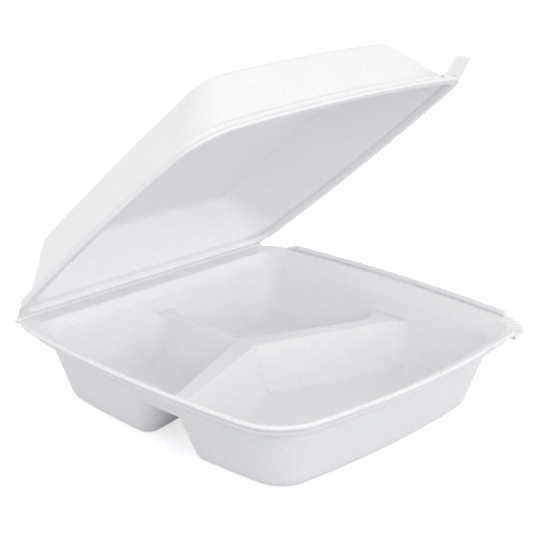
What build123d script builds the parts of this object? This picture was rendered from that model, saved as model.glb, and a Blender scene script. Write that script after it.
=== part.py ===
from build123d import *
import math
import os

# Hinged-lid takeaway container, thermoformed in one piece from white polystyrene foam sheet.
# Millimetres, +Z up, origin on the table under the middle of the tray.
# -Y is the side that opens, +Y is the hinge. The tray and the lid are parted at the hinge crease.

# Sheet
wall = 2.1
sheet = 2.0
web = 2.2

# Heights in the tray
floor_level = 2.0
divider_level = 30.0
ledge_low = 40.8
ledge_high = 42.2
band_low = 44.2
rim_level = 47.4
edge_level = 48.8
tray_bottom = 0.0

# Outlines in plan. Each is half the width, the reach to the front and to the back from the
# origin, how far the sides and the front bow out, and the radii of the front left, front right
# and back corners. The front right corner is the fuller one, where the lift tab comes down.
tray_rim = (117.5, 118.3, 109.4, 7.6, 10.7, 33.0, 22.0, 18.0)
tray_mouth = (110.0, 110.8, 96.4, 7.4, 10.4, 29.0, 19.0, 14.0)
tray_band_foot = (109.1, 109.9, 95.8, 7.3, 10.2, 28.4, 19.0, 14.0)
tray_shoulder = (106.8, 107.6, 94.8, 7.2, 10.0, 27.0, 20.0, 14.0)
tray_wall_top = (101.3, 102.1, 93.4, 7.0, 9.4, 25.5, 22.0, 14.0)
tray_floor = (86.7, 90.6, 89.6, 5.3, 5.8, 18.5, 18.5, 16.0)
underside_edge = 7.0
floor_edge = 5.0

# Upturned rim with a rolled bead on top
flange_taper = 4.6
bead_width = 2.6
bead_height = 3.4
bead_round = 1.1
bead_end = 92.0
bead_fade = 9.0

# Dividers, a Y in plan: the front compartment ends in a blunt roof, the rear two are squarer.
# Each pair is the size at the divider's top and the size at the floor.
roof_tip = (14.0, 2.8)
roof_fall = 0.352
middle_half_gap = (3.4, 18.0)
rear_line_centre = (28.4, 40.0)
rear_line_middle = (4.2, 17.5)
rear_line_outer = (-19.1, 14.5)
roof_tip_round = (3.0, 3.0)
front_wall_round = (11.0, 6.0)
rear_wall_round = (15.0, 7.0)
rear_tip_round = (4.0, 6.0)
hinge_wall_round = (9.0, 6.0)

# Lid, drawn closed: heights are above the hinge crease
lid_gap = 0.3
lid_rim = (113.4, 112.0, 109.1, 6.8, 8.4, 28.0, 16.0, 18.0)
lid_lip = 2.6
lid_shoulder_draft = 0.5
lid_shoulder_height = 6.3
lid_ledge = 3.2
lid_ledge_rise = 0.8
lid_height = 37.0
lid_side_slope = 35.0
lid_front_slope = 13.0
lid_back_slope = 15.0
lid_top_bow_share = 0.45
lid_top_corner = 18.0
lid_top_back_corner = 12.0
lid_foot_back_corner = 26.0
lid_side_across = 2.8
lid_front_across = 2.2
lid_top_edge = 5.0
lid_ceiling_edge = 4.0

# Hinge crease, pressed thin and rounded over
hinge_radius = 1.5
hinge_half_length = 103.0
hinge_strip = 4.6
hinge_play = 0.3
lid_open_angle = 41.0

# Lift tab across the lid's front right corner, from the middle of its root line outwards. The
# root line's middle is set in from the lid's side and from its front.
tab_side_inset = 16.9
tab_front_inset = 13.5
tab_width = 21.0
tab_length = 18.5
tab_rise_angle = 28.0
tab_turn = 16.0
tab_corner = 2.2
tab_border = 2.6
tab_root = 4.5
tab_pocket = 0.8

# Lock on the front rim: notches in the bead, and raised catches behind it
notch_place = 57.0
notch_width = 6.0
notch_depth = 1.6
catch_place = 45.0
catch_reach = 17.0
catch_width = 1.8
catch_sink = 0.3
catch_height = 2.2
knob_reach = 4.0

# Seat for the tab in the rim's front right corner: the bead stops, and ribs cross a recess
seat_start_angle = -92.0
seat_end_angle = -8.0
recess_start_angle = -68.0
recess_end_angle = -22.0
recess_width = 6.4
recess_depth = 0.9
rib_count = 3
rib_width = 1.5
rib_step_angle = 11.5

overrun = 5.0


# The outline with its four sides drawn as arcs, and its corners rounded.
def outline_face(outline):
    half_width, front, back, side_bow, front_bow, left_corner, right_corner, back_corner = outline
    end = half_width - side_bow
    front_left = (-end, front_bow - front)
    front_right = (end, front_bow - front)
    back_left = (-end, back)
    back_right = (end, back)
    middle = (back - front + front_bow) / 2
    edges = [
        ThreePointArc(front_left, (0, -front), front_right),
        ThreePointArc(front_right, (half_width, middle), back_right),
        Line(back_right, back_left),
        ThreePointArc(back_left, (-half_width, middle), front_left),
    ]
    face = make_face(edges)
    face = round_corner(face, (*front_left, 0), left_corner)
    face = round_corner(face, (*front_right, 0), right_corner)
    return fillet(face.vertices().group_by(Axis.Y)[-1], back_corner)


# One vertex of the face, the nearest to a place, is rounded.
def round_corner(face, place, radius):
    corner = face.vertices().sort_by_distance(place)[0]
    return fillet(corner, radius)


# The same outline, moved outwards by one amount all round.
def grown(outline, amount):
    half_width, front, back, side_bow, front_bow = outline[:5]
    corners = [corner + amount for corner in outline[5:]]
    return (half_width + amount, front + amount, back + amount, side_bow, front_bow, *corners)


# The value at a height, on the straight line through its floor and upper values.
def at_height(floor_value, upper_value, height, upper_height):
    share = (height - floor_level) / (upper_height - floor_level)
    return floor_value + (upper_value - floor_value) * share


# The tray's tapered wall at a height, on the food side.
def wall_outline(height):
    pairs = zip(tray_floor, tray_wall_top)
    return tuple(at_height(low, high, height, ledge_low) for low, high in pairs)


# A divider's size at a height, from its pair of sizes.
def divider_size(pair, height):
    top_size, floor_size = pair
    return at_height(floor_size, top_size, height, divider_level)


# Plan of the front compartment at a height: the tray's wall, closed by the blunt roof behind.
def front_plan(height, growth):
    bowl = outline_face(grown(wall_outline(height), growth))
    reach = tray_rim[0]
    tip = divider_size(roof_tip, height) + growth * math.hypot(1, roof_fall)
    side = tip - roof_fall * reach
    low = -tray_rim[1]
    corners = [(0, tip), (reach, side), (reach, low), (-reach, low), (-reach, side)]
    face = bowl & make_face(Polyline(corners, close=True))
    face = round_corner(face, (0, tip, 0), divider_size(roof_tip_round, height) + growth)
    wall_round = divider_size(front_wall_round, height) + growth
    face = round_corner(face, (reach, side, 0), wall_round)
    return round_corner(face, (-reach, side, 0), wall_round)


# Plan of the right rear compartment at a height: hinge wall, side wall, and the two dividers.
def rear_plan(height, growth):
    bowl = outline_face(grown(wall_outline(height), growth))
    reach = tray_rim[0]
    back = tray_rim[2]
    half_gap = divider_size(middle_half_gap, height) - growth
    centre = divider_size(rear_line_centre, height) - growth
    middle = divider_size(rear_line_middle, height) - growth
    outer = divider_size(rear_line_outer, height) - growth
    pull = 2 * middle - (centre + outer) / 2
    edges = [
        Bezier((0, centre), (reach / 2, pull), (reach, outer)),
        Line((reach, outer), (reach, back)),
        Line((reach, back), (0, back)),
        Line((0, back), (0, centre)),
    ]
    face = bowl & make_face(edges)
    face = face - Rectangle(2 * half_gap, 2 * back)
    face = round_corner(face, (0, centre, 0), divider_size(rear_tip_round, height) + growth)
    face = round_corner(face, (reach, outer, 0), divider_size(rear_wall_round, height) + growth)
    return round_corner(face, (0, back, 0), divider_size(hinge_wall_round, height) + growth)


# One compartment between two heights, with its bottom edge rounded.
def compartment(plan, low, high, growth, edge_round):
    faces = [Pos(0, 0, low) * plan(low, growth), Pos(0, 0, high) * plan(high, growth)]
    pod = loft(faces, ruled=True)
    return fillet(pod.edges().group_by(Axis.Z)[0], edge_round)


# The three compartments together.
def compartments(low, high, growth, edge_round):
    front = compartment(front_plan, low, high, growth, edge_round)
    right = compartment(rear_plan, low, high, growth, edge_round)
    return [front, right, mirror(right, about=Plane.YZ)]


# Straight-sided steps through a list of outlines and their heights, joined into one solid.
def stacked(levels):
    steps = []
    for (low, low_height), (high, high_height) in zip(levels, levels[1:]):
        faces = [Pos(0, 0, low_height) * outline_face(low), Pos(0, 0, high_height) * outline_face(high)]
        steps.append(loft(faces, ruled=True))
    return steps


# Outside of the moulded sheet, from the table to the underside of the rim.
def tray_outside():
    split = divider_level - web
    levels = [
        (grown(wall_outline(split), wall), split),
        (grown(wall_outline(ledge_low - sheet), wall), ledge_low - sheet),
        (grown(tray_shoulder, wall), ledge_high - sheet),
        (grown(tray_band_foot, wall), band_low - sheet),
        (grown(tray_mouth, wall), rim_level - sheet / 2),
    ]
    return Part() + stacked(levels) + compartments(tray_bottom, split, wall, underside_edge)


# Inside of the moulded sheet, from the compartment floors to the rim. The sheet fills the
# outside's ledge, so inside the wall only slopes out to the mouth.
def tray_inside():
    levels = [
        (wall_outline(divider_level), divider_level),
        (wall_outline(ledge_low), ledge_low),
        (tray_mouth, rim_level),
    ]
    return Part() + stacked(levels) + compartments(floor_level, divider_level, 0, floor_edge)


# Rim, solid up to the top of its bead, with its underside sloping up to the outer edge.
def rim_body():
    levels = [
        (grown(tray_rim, -flange_taper), rim_level - sheet),
        (tray_rim, edge_level),
        (tray_rim, rim_level + bead_height),
    ]
    body = Part() + stacked(levels)
    return fillet(body.edges().group_by(Axis.Z)[-1], bead_round)


# What is taken off the rim inside the bead, where the lid's rim comes down.
def rim_channel():
    channel_face = outline_face(grown(tray_rim, -bead_width))
    return Pos(0, 0, rim_level) * extrude(channel_face, bead_height + overrun)


# What is taken off the bead near the hinge, where it slopes down to nothing.
def bead_slope():
    top = rim_level + bead_height + overrun
    back = tray_rim[2] + overrun
    start = bead_end - bead_fade
    slope = [(start, rim_level + bead_height), (bead_end, rim_level), (back, rim_level), (back, top), (start, top)]
    side_view = Plane.YZ * make_face(Polyline(slope, close=True))
    return extrude(side_view, tray_rim[0] + overrun, both=True)


# Middle of the arc that rounds the rim's front right corner.
def seat_centre():
    corner = tray_rim[6]
    aside = tray_rim[0] - tray_rim[3] - corner
    return Pos(aside, tray_rim[4] - tray_rim[1] + corner, 0)


# Ring sector about the seat's centre, between two radii and two angles.
def seat_sector(inner, outer, start_angle, end_angle):
    edges = [
        CenterArc((0, 0), outer, start_angle, end_angle - start_angle),
        CenterArc((0, 0), inner, start_angle, end_angle - start_angle),
    ]
    first = Line(edges[0] @ 0, edges[1] @ 0)
    last = Line(edges[0] @ 1, edges[1] @ 1)
    return make_face([*edges, first, last])


# Part of the rim that the seat takes up, in plan.
def seat_area():
    corner = tray_rim[6]
    inner = corner - bead_width - overrun
    sector = seat_sector(inner, corner + overrun, seat_start_angle, seat_end_angle)
    return seat_centre() * sector


# Flat bottom of the seat, where the rim doesn't turn up.
def seat_plate():
    flat = outline_face(tray_rim) & seat_area()
    return Pos(0, 0, rim_level - sheet) * extrude(flat, sheet)


# What is taken off the rim for the tab: the bead over the whole seat, and a shallow recess
# with ribs left standing across it.
def tab_seat():
    corner = tray_rim[6]
    cut = Pos(0, 0, rim_level) * extrude(seat_area(), bead_height + overrun)
    outer = corner + overrun
    recess = seat_sector(corner - recess_width, outer, recess_start_angle, recess_end_angle)
    middle = (recess_start_angle + recess_end_angle) / 2
    for index in range(rib_count):
        angle = middle + (index - (rib_count - 1) / 2) * rib_step_angle
        bar = Pos(corner, 0) * Rectangle(2 * (recess_width + overrun), rib_width)
        recess = recess - Rot(0, 0, angle) * bar
    floor = Pos(0, 0, rim_level - recess_depth)
    return cut + seat_centre() * floor * extrude(recess, recess_depth + overrun)


# Strip along the back that carries the crease, wider than the straight of the rim.
def hinge_strip_plate():
    strip_face = Pos(0, -hinge_strip / 2) * Rectangle(2 * hinge_half_length, hinge_strip)
    return extrude(strip_face, sheet)


# Place on the rim at a distance to the side and in from its edge, turned along the edge, which
# is an arc in front.
def on_front_rim(aside, inset):
    end = tray_rim[0] - tray_rim[3]
    bow = tray_rim[4]
    radius = (end * end + bow * bow) / (2 * bow)
    front = tray_rim[1] - radius + math.sqrt(radius * radius - aside * aside)
    turn = math.degrees(math.asin(aside / radius))
    return Pos(aside, inset - front, rim_level) * Rot(0, 0, turn)


# Raised catches between the front bead and the lid's edge, and a knob midway.
def catches():
    blocks = []
    inset = bead_width - catch_sink + catch_width / 2
    for aside, reach in ((-catch_place, catch_reach), (0, knob_reach), (catch_place, catch_reach)):
        bar = fillet(Rectangle(reach, catch_width).vertices(), catch_width / 3)
        place = on_front_rim(aside, inset) * Pos(0, 0, -sheet / 2)
        blocks.append(place * extrude(bar, catch_height + sheet / 2))
    return blocks


# Tool that cuts the two lock notches into the outside of the front bead.
def notches():
    cuts = []
    for side in (-1, 1):
        shape = SlotOverall(notch_width, 2 * notch_depth)
        cuts.append(on_front_rim(side * notch_place, 0) * extrude(shape, bead_height + overrun))
    return cuts


# Crease roll on the hinge line, with round ends.
def hinge_roll(radius):
    line = Pos(0, tray_rim[2], rim_level)
    roll = line * Rot(0, 90, 0) * Cylinder(radius, 2 * hinge_half_length)
    for side in (-1, 1):
        roll += line * Pos(side * hinge_half_length, 0, 0) * Sphere(radius)
    return roll


def make_tray():
    rim = rim_body() + seat_plate() - rim_channel() - bead_slope() - tab_seat() - notches()
    strip = Pos(0, tray_rim[2], rim_level - sheet) * hinge_strip_plate()
    tray = tray_outside() + rim + strip + catches() - tray_inside()
    return tray + hinge_roll(hinge_radius)


# The top panel of the lid, flatter at its sides than the rim.
def lid_top_outline(side, front, back, thinner):
    half_width, reach, rear, side_bow, front_bow = lid_rim[:5]
    bows = (side_bow * lid_top_bow_share, front_bow * lid_top_bow_share)
    corner = lid_top_corner - thinner
    corners = (corner, corner, lid_top_back_corner - thinner)
    return (half_width - side, reach - front, rear - back, *bows, *corners)


# The foot of the lid's dome, set in from the rim, with full corners at the hinge.
def lid_foot_outline(inset, thinner):
    return (*grown(lid_rim, -inset)[:7], lid_foot_back_corner - thinner)


# Outside of the lid above its rim, closed, heights from the crease.
def lid_outside():
    step = lid_lip + lid_shoulder_draft
    foot = step + lid_ledge
    top = lid_top_outline(lid_side_slope, lid_front_slope, lid_back_slope, 0)
    levels = [
        (grown(lid_rim, -lid_lip), lid_gap + sheet / 2),
        (grown(lid_rim, -step), lid_shoulder_height),
        (lid_foot_outline(foot, 0), lid_shoulder_height + lid_ledge_rise),
        (top, lid_height),
    ]
    dome = Part() + stacked(levels)
    return fillet(dome.edges().group_by(Axis.Z)[-1], lid_top_edge)


# Inside of the lid, from below its rim to the underside of the top panel.
def lid_inside():
    lip = lid_lip + wall
    step = lip + lid_shoulder_draft
    foot = step + lid_ledge
    side = lid_side_slope + lid_side_across - sheet
    front = lid_front_slope + lid_front_across - sheet / 4
    back = lid_back_slope + lid_front_across - sheet / 4
    top = lid_top_outline(side, front, back, sheet)
    levels = [
        (grown(lid_rim, -lip), lid_gap - overrun),
        (grown(lid_rim, -step), lid_shoulder_height - sheet),
        (lid_foot_outline(foot, wall), lid_shoulder_height + lid_ledge_rise - sheet),
        (top, lid_height - sheet),
    ]
    hollow = Part() + stacked(levels)
    return fillet(hollow.edges().group_by(Axis.Z)[-1], lid_ceiling_edge)


# Flat rim of the lid with the strip that meets the crease.
def lid_flange():
    strip = Pos(0, lid_rim[2], 0) * hinge_strip_plate()
    return Pos(0, 0, lid_gap) * (extrude(outline_face(lid_rim), sheet) + strip)


# Lift tab: a plate bent up from the rim, with a pocket pressed into its upper face.
def lid_tab():
    plate = Pos(0, -tab_length / 2) * Rectangle(tab_width, tab_length)
    plate = fillet(plate.vertices().group_by(Axis.Y)[0], tab_corner)
    length = tab_length - tab_root - 2 * tab_border
    pocket = Pos(0, tab_border + length / 2 - tab_length) * Rectangle(tab_width - 2 * tab_border, length)
    pocket = fillet(pocket.vertices(), tab_corner / 2)
    tab = extrude(plate, sheet) - Pos(0, 0, sheet - tab_pocket) * extrude(pocket, sheet)
    aside = lid_rim[0] - tab_side_inset
    front = lid_rim[1] - tab_front_inset
    place = Pos(aside, -front, lid_gap) * Rot(0, 0, tab_turn) * Rot(-tab_rise_angle, 0, 0)
    return place * tab


def make_lid():
    closed = lid_flange() + lid_outside() + lid_tab()
    closed = closed - lid_inside()
    crease = Pos(0, tray_rim[2], rim_level)
    open_up = crease * Rot(-lid_open_angle, 0, 0) * Pos(0, -tray_rim[2], 0)
    return open_up * closed - hinge_roll(hinge_radius + hinge_play)


os.makedirs("parts", exist_ok=True)
export_step(make_tray(), "parts/tray.step")
export_step(make_lid(), "parts/lid.step")
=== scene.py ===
import math

import bmesh
import bpy
from mathutils import Matrix, Vector


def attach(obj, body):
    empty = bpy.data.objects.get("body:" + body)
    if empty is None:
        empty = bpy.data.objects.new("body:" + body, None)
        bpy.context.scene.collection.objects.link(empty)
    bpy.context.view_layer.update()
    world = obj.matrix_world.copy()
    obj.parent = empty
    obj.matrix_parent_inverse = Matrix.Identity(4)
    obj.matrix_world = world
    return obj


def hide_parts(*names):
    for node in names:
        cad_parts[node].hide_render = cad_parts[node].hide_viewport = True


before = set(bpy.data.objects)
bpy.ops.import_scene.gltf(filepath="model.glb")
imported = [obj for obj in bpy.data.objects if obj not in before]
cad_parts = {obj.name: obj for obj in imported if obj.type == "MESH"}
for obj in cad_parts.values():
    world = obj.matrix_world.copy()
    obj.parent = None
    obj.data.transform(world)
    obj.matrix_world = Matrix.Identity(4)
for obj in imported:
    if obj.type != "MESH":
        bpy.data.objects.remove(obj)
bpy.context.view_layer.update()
print("frame loaded")


# sRGB hex to linear colour: each channel is taken off its curve, (c + 0.055) / 1.055 to the power 2.4
def hexColour(code):
    values = [int(code[i:i + 2], 16) / 255 for i in (1, 3, 5)]
    return tuple(v / 12.92 if v <= 0.04045 else ((v + 0.055) / 1.055) ** 2.4 for v in values) + (1.0,)


# adds one node, sets its properties and its sockets, and links what is a socket
def addNode(tree, kind, inputs=None, **settings):
    node = tree.nodes.new(kind)
    for name, value in settings.items():
        setattr(node, name, value)
    for name, value in (inputs or {}).items():
        if isinstance(value, bpy.types.NodeSocket):
            tree.links.new(value, node.inputs[name])
        else:
            node.inputs[name].default_value = value
    return node


# Expanded polystyrene sheet, thermoformed. To the eye it is white with a faint satin skin, and the
# closed cells show as a fine pebble of about a millimetre. Grooves and creases are greyed in the
# colour as painted shade, where ambient occlusion finds nearby faces and where the surface bends
# inward.
foamLook = {
    "skin": "#F9F9FA",
    "skinShade": "#F4F5F6",
    "crease": "#A9AAAE",
    "creaseReach": 0.003,  # how near another face must lie for the painted crease shade
    "paintedShadeOpenRange": (0.3, 0.85),  # openness from full painted shade to none
    "paintedShadeBendRange": (0.42, 0.495),  # inward bend from most painted shade to flat
    "paintedShadeBendLeast": 0.25,
    "cellShade": "#E6E7EA",
    "cellEdgeRange": (0.4, 0.9),
    "cellEdgeMost": 0.45,
    "cloudRange": (0.35, 0.7),
    "cloudMost": 0.5,
    "roughness": 0.46,
    "ior": 1.49,
    "cellSize": 0.0011,
    "grainSize": 0.0004,
    "cloudSize": 0.02,
    "cellDepth": 0.00008,
    "bumpStrength": 0.5,
}


# height = distance from the cell's middle + fine noise, and it is raised by the cell depth;
# colour = skin, clouded towards the shade, greyer at cell edges, and greyed with painted shade in
# grooves and creases
def makeFoam(name):
    look = foamLook
    material = bpy.data.materials.new(name)
    material.use_nodes = True
    tree = material.node_tree
    tree.nodes.clear()
    place = addNode(tree, "ShaderNodeTexCoord").outputs["Object"]
    cells = addNode(tree, "ShaderNodeTexVoronoi", {"Vector": place, "Scale": 1 / look["cellSize"]},
                    feature="SMOOTH_F1")
    grain = addNode(tree, "ShaderNodeTexNoise",
                    {"Vector": place, "Scale": 1 / look["grainSize"], "Detail": 2.0})
    cloud = addNode(tree, "ShaderNodeTexNoise",
                    {"Vector": place, "Scale": 1 / look["cloudSize"], "Detail": 3.0})
    # a colour Mix takes its two colours on sockets 6 and 7 and gives the result on 2
    low, high = look["cloudRange"]
    clouded = addNode(tree, "ShaderNodeMapRange",
                      {"Value": cloud.outputs["Fac"], "From Min": low, "From Max": high,
                       "To Min": 0.0, "To Max": look["cloudMost"]})
    colour = addNode(tree, "ShaderNodeMix",
                     {"Factor": clouded.outputs["Result"], 6: hexColour(look["skin"]),
                      7: hexColour(look["skinShade"])}, data_type="RGBA")
    low, high = look["cellEdgeRange"]
    seams = addNode(tree, "ShaderNodeMapRange",
                    {"Value": cells.outputs["Distance"], "From Min": low, "From Max": high,
                     "To Max": look["cellEdgeMost"]})
    celled = addNode(tree, "ShaderNodeMix",
                     {"Factor": seams.outputs["Result"], 6: colour.outputs[2],
                      7: hexColour(look["cellShade"])}, data_type="RGBA")
    # painted shade: ambient occlusion and inward bend grey the colour in grooves and creases
    low, high = look["paintedShadeOpenRange"]
    shadeOcclusion = addNode(tree, "ShaderNodeAmbientOcclusion", {"Distance": look["creaseReach"]},
                     samples=8, only_local=True)
    openShadeFactor = addNode(tree, "ShaderNodeMapRange",
                      {"Value": shadeOcclusion.outputs["AO"], "From Min": low, "From Max": high})
    low, high = look["paintedShadeBendRange"]
    pointed = addNode(tree, "ShaderNodeNewGeometry").outputs["Pointiness"]
    bendShadeFactor = addNode(tree, "ShaderNodeMapRange",
                   {"Value": pointed, "From Min": low, "From Max": high, "To Min": look["paintedShadeBendLeast"]})
    paintedShadeFactor = addNode(tree, "ShaderNodeMath", {0: openShadeFactor.outputs["Result"], 1: bendShadeFactor.outputs["Result"]},
                   operation="MULTIPLY")
    # the painted crease shade is mixed into the colour here
    creaseShadedColour = addNode(tree, "ShaderNodeMix",
                    {"Factor": paintedShadeFactor.outputs["Value"], 6: hexColour(look["crease"]),
                     7: celled.outputs[2]}, data_type="RGBA")
    height = addNode(tree, "ShaderNodeMath", {0: cells.outputs["Distance"], 1: grain.outputs["Fac"]},
                     operation="ADD")
    bump = addNode(tree, "ShaderNodeBump",
                   {"Height": height.outputs["Value"], "Strength": look["bumpStrength"],
                    "Distance": look["cellDepth"]})
    shader = addNode(tree, "ShaderNodeBsdfPrincipled",
                     {"Base Color": creaseShadedColour.outputs[2], "Roughness": look["roughness"],
                      "IOR": look["ior"], "Normal": bump.outputs["Normal"]})
    out = addNode(tree, "ShaderNodeOutputMaterial")
    tree.links.new(shader.outputs["BSDF"], out.inputs["Surface"])
    return material


# Softened foam pieces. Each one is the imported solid's own form: a merged copy is laid out anew as
# even small faces and smoothed a little, because pressed foam sheet has no sharp edge anywhere,
# and then thinned where it is flat.
softening = {
    "mergeReach": 1e-6, "cell": 0.0006, "share": 0.5, "rounds": 2, "mostTriangles": 190000,
}
pieces = {"tray": ("foamTray", "foam_tray"), "lid": ("foamLid", "foam_lid")}


def softenedCopy(node, name):
    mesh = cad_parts[node].data.copy()
    merged = bmesh.new()
    merged.from_mesh(mesh)
    bmesh.ops.remove_doubles(merged, verts=merged.verts, dist=softening["mergeReach"])
    merged.to_mesh(mesh)
    merged.free()
    piece = bpy.data.objects.new(name, mesh)
    bpy.context.scene.collection.objects.link(piece)
    even = piece.modifiers.new("evenFaces", "REMESH")
    even.mode = "VOXEL"
    even.voxel_size = softening["cell"]
    soft = piece.modifiers.new("softEdges", "SMOOTH")
    soft.factor = softening["share"]
    soft.iterations = softening["rounds"]
    faces = len(piece.evaluated_get(bpy.context.evaluated_depsgraph_get()).data.polygons)
    thin = piece.modifiers.new("fewerFaces", "DECIMATE")
    thin.ratio = min(1.0, softening["mostTriangles"] / (2 * faces))
    finished = piece.evaluated_get(bpy.context.evaluated_depsgraph_get())
    piece.data = bpy.data.meshes.new_from_object(finished)
    piece.modifiers.clear()
    piece.data.shade_smooth()
    return piece


for node, (name, slot) in pieces.items():
    piece = softenedCopy(node, name)
    piece.data.materials.clear()
    piece.data.materials.append(makeFoam("polystyreneFoamThermoformed_" + node))
    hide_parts(node)
    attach(piece, node)
    piece.data.calc_loop_triangles()
    print(name, "made with", len(piece.data.loop_triangles), "triangles")


# Floor and light. The lift, which brings the floor up to the white backdrop and keeps the object's
# shadow, and the world's full white are for the eye and for reflections. They are left out of the
# soft light that falls on the foam.
stageLook = {
    "floor": "#C4C5C8", "floorHalf": 3.0, "floorRoughness": 0.9, "floorGloss": 0.1,
    "floorLift": 0.66, "worldStrength": 0.76,
}


# 1 where the backdrop is what is looked at, straight or in a reflection, and 0 for other light
def backdropRay(tree):
    path = addNode(tree, "ShaderNodeLightPath").outputs
    mirrored = addNode(tree, "ShaderNodeMath", {0: path["Is Camera Ray"], 1: path["Is Glossy Ray"]},
                       operation="MAXIMUM")
    either = addNode(tree, "ShaderNodeMath",
                     {0: mirrored.outputs["Value"], 1: path["Is Transmission Ray"]},
                     operation="MAXIMUM")
    return either.outputs["Value"]


def makeStage():
    half = stageLook["floorHalf"]
    corners = [(-half, -half, 0), (half, -half, 0), (half, half, 0), (-half, half, 0)]
    mesh = bpy.data.meshes.new("floor")
    mesh.from_pydata(corners, [], [(0, 1, 2, 3)])
    floor = bpy.data.objects.new("floor", mesh)
    bpy.context.scene.collection.objects.link(floor)
    material = bpy.data.materials.new("matteFloor")
    material.use_nodes = True
    tree = material.node_tree
    shader = tree.nodes["Principled BSDF"]
    shader.inputs["Base Color"].default_value = hexColour(stageLook["floor"])
    shader.inputs["Roughness"].default_value = stageLook["floorRoughness"]
    shader.inputs["Specular IOR Level"].default_value = stageLook["floorGloss"]
    seen = backdropRay(tree)
    shader.inputs["Emission Color"].default_value = hexColour("#FFFFFF")
    lift = addNode(tree, "ShaderNodeMath", {0: seen, 1: stageLook["floorLift"]}, operation="MULTIPLY")
    tree.links.new(lift.outputs["Value"], shader.inputs["Emission Strength"])
    mesh.materials.append(material)


makeStage()

world = bpy.data.worlds.new("softWorld")
bpy.context.scene.world = world
world.use_nodes = True
tree = world.node_tree
background = tree.nodes["Background"]
background.inputs["Color"].default_value = hexColour("#FFFFFF")
seen = backdropRay(tree)
level = addNode(tree, "ShaderNodeMapRange",
                {"Value": seen, "To Min": stageLook["worldStrength"], "To Max": 1.0})
tree.links.new(level.outputs["Result"], background.inputs["Strength"])

# soft boxes: place, target, size and power
lamps = {
    "frontSoftbox": ((-0.3, -1.6, 0.6), (0, 0, 0.08), 1.4, 6.9),
    "leftSoftbox": ((-1.6, -0.2, 0.3), (0, 0, 0.08), 1.2, 3.0),
    "topLeftSoftbox": ((-1.3, 0.6, 1.2), (0, 0, 0.08), 1.2, 3.0),
    "rightSoftbox": ((1.2, -1.2, 0.5), (0, 0, 0.08), 1.2, 3.2),
}


def aim(place, target):
    back = (Vector(place) - Vector(target)).normalized()
    return back.to_track_quat("Z", "Y").to_matrix().to_4x4()


for name, (place, target, size, power) in lamps.items():
    lamp = bpy.data.lights.new(name, "AREA")
    lamp.shape = "SQUARE"
    lamp.size = size
    lamp.energy = power
    holder = bpy.data.objects.new(name, lamp)
    holder.matrix_world = Matrix.Translation(place) @ aim(place, target)
    bpy.context.scene.collection.objects.link(holder)

# Camera, matched to the photograph's outline points: degrees, metres, and the focal length in
# photograph pixels
photoSize = 533
cameraPlace = {
    "azimuth": -46.80, "elevation": 19.21, "roll": 1.06, "distance": 0.8973,
    "target": (0.04645, 0.0492, 0.060), "focalPixels": 1423.7,
}


def makeCamera():
    look = cameraPlace
    az, el, roll = (math.radians(look[key]) for key in ("azimuth", "elevation", "roll"))
    back = Vector((math.sin(az) * math.cos(el), -math.cos(az) * math.cos(el), math.sin(el)))
    right = Vector((0, 0, 1)).cross(back).normalized()
    up = back.cross(right)
    turn = Matrix((right, up, back)).transposed().to_4x4() @ Matrix.Rotation(roll, 4, "Z")
    data = bpy.data.cameras.new("camera")
    data.sensor_width = 36.0
    data.lens = look["focalPixels"] / photoSize * data.sensor_width
    data.clip_start = 0.01
    data.clip_end = 50.0
    camera = bpy.data.objects.new("camera", data)
    camera.matrix_world = Matrix.Translation(Vector(look["target"]) + back * look["distance"]) @ turn
    bpy.context.scene.collection.objects.link(camera)
    bpy.context.scene.camera = camera


makeCamera()
bpy.context.scene.view_settings.view_transform = "Standard"
print("stage, lights and camera made")
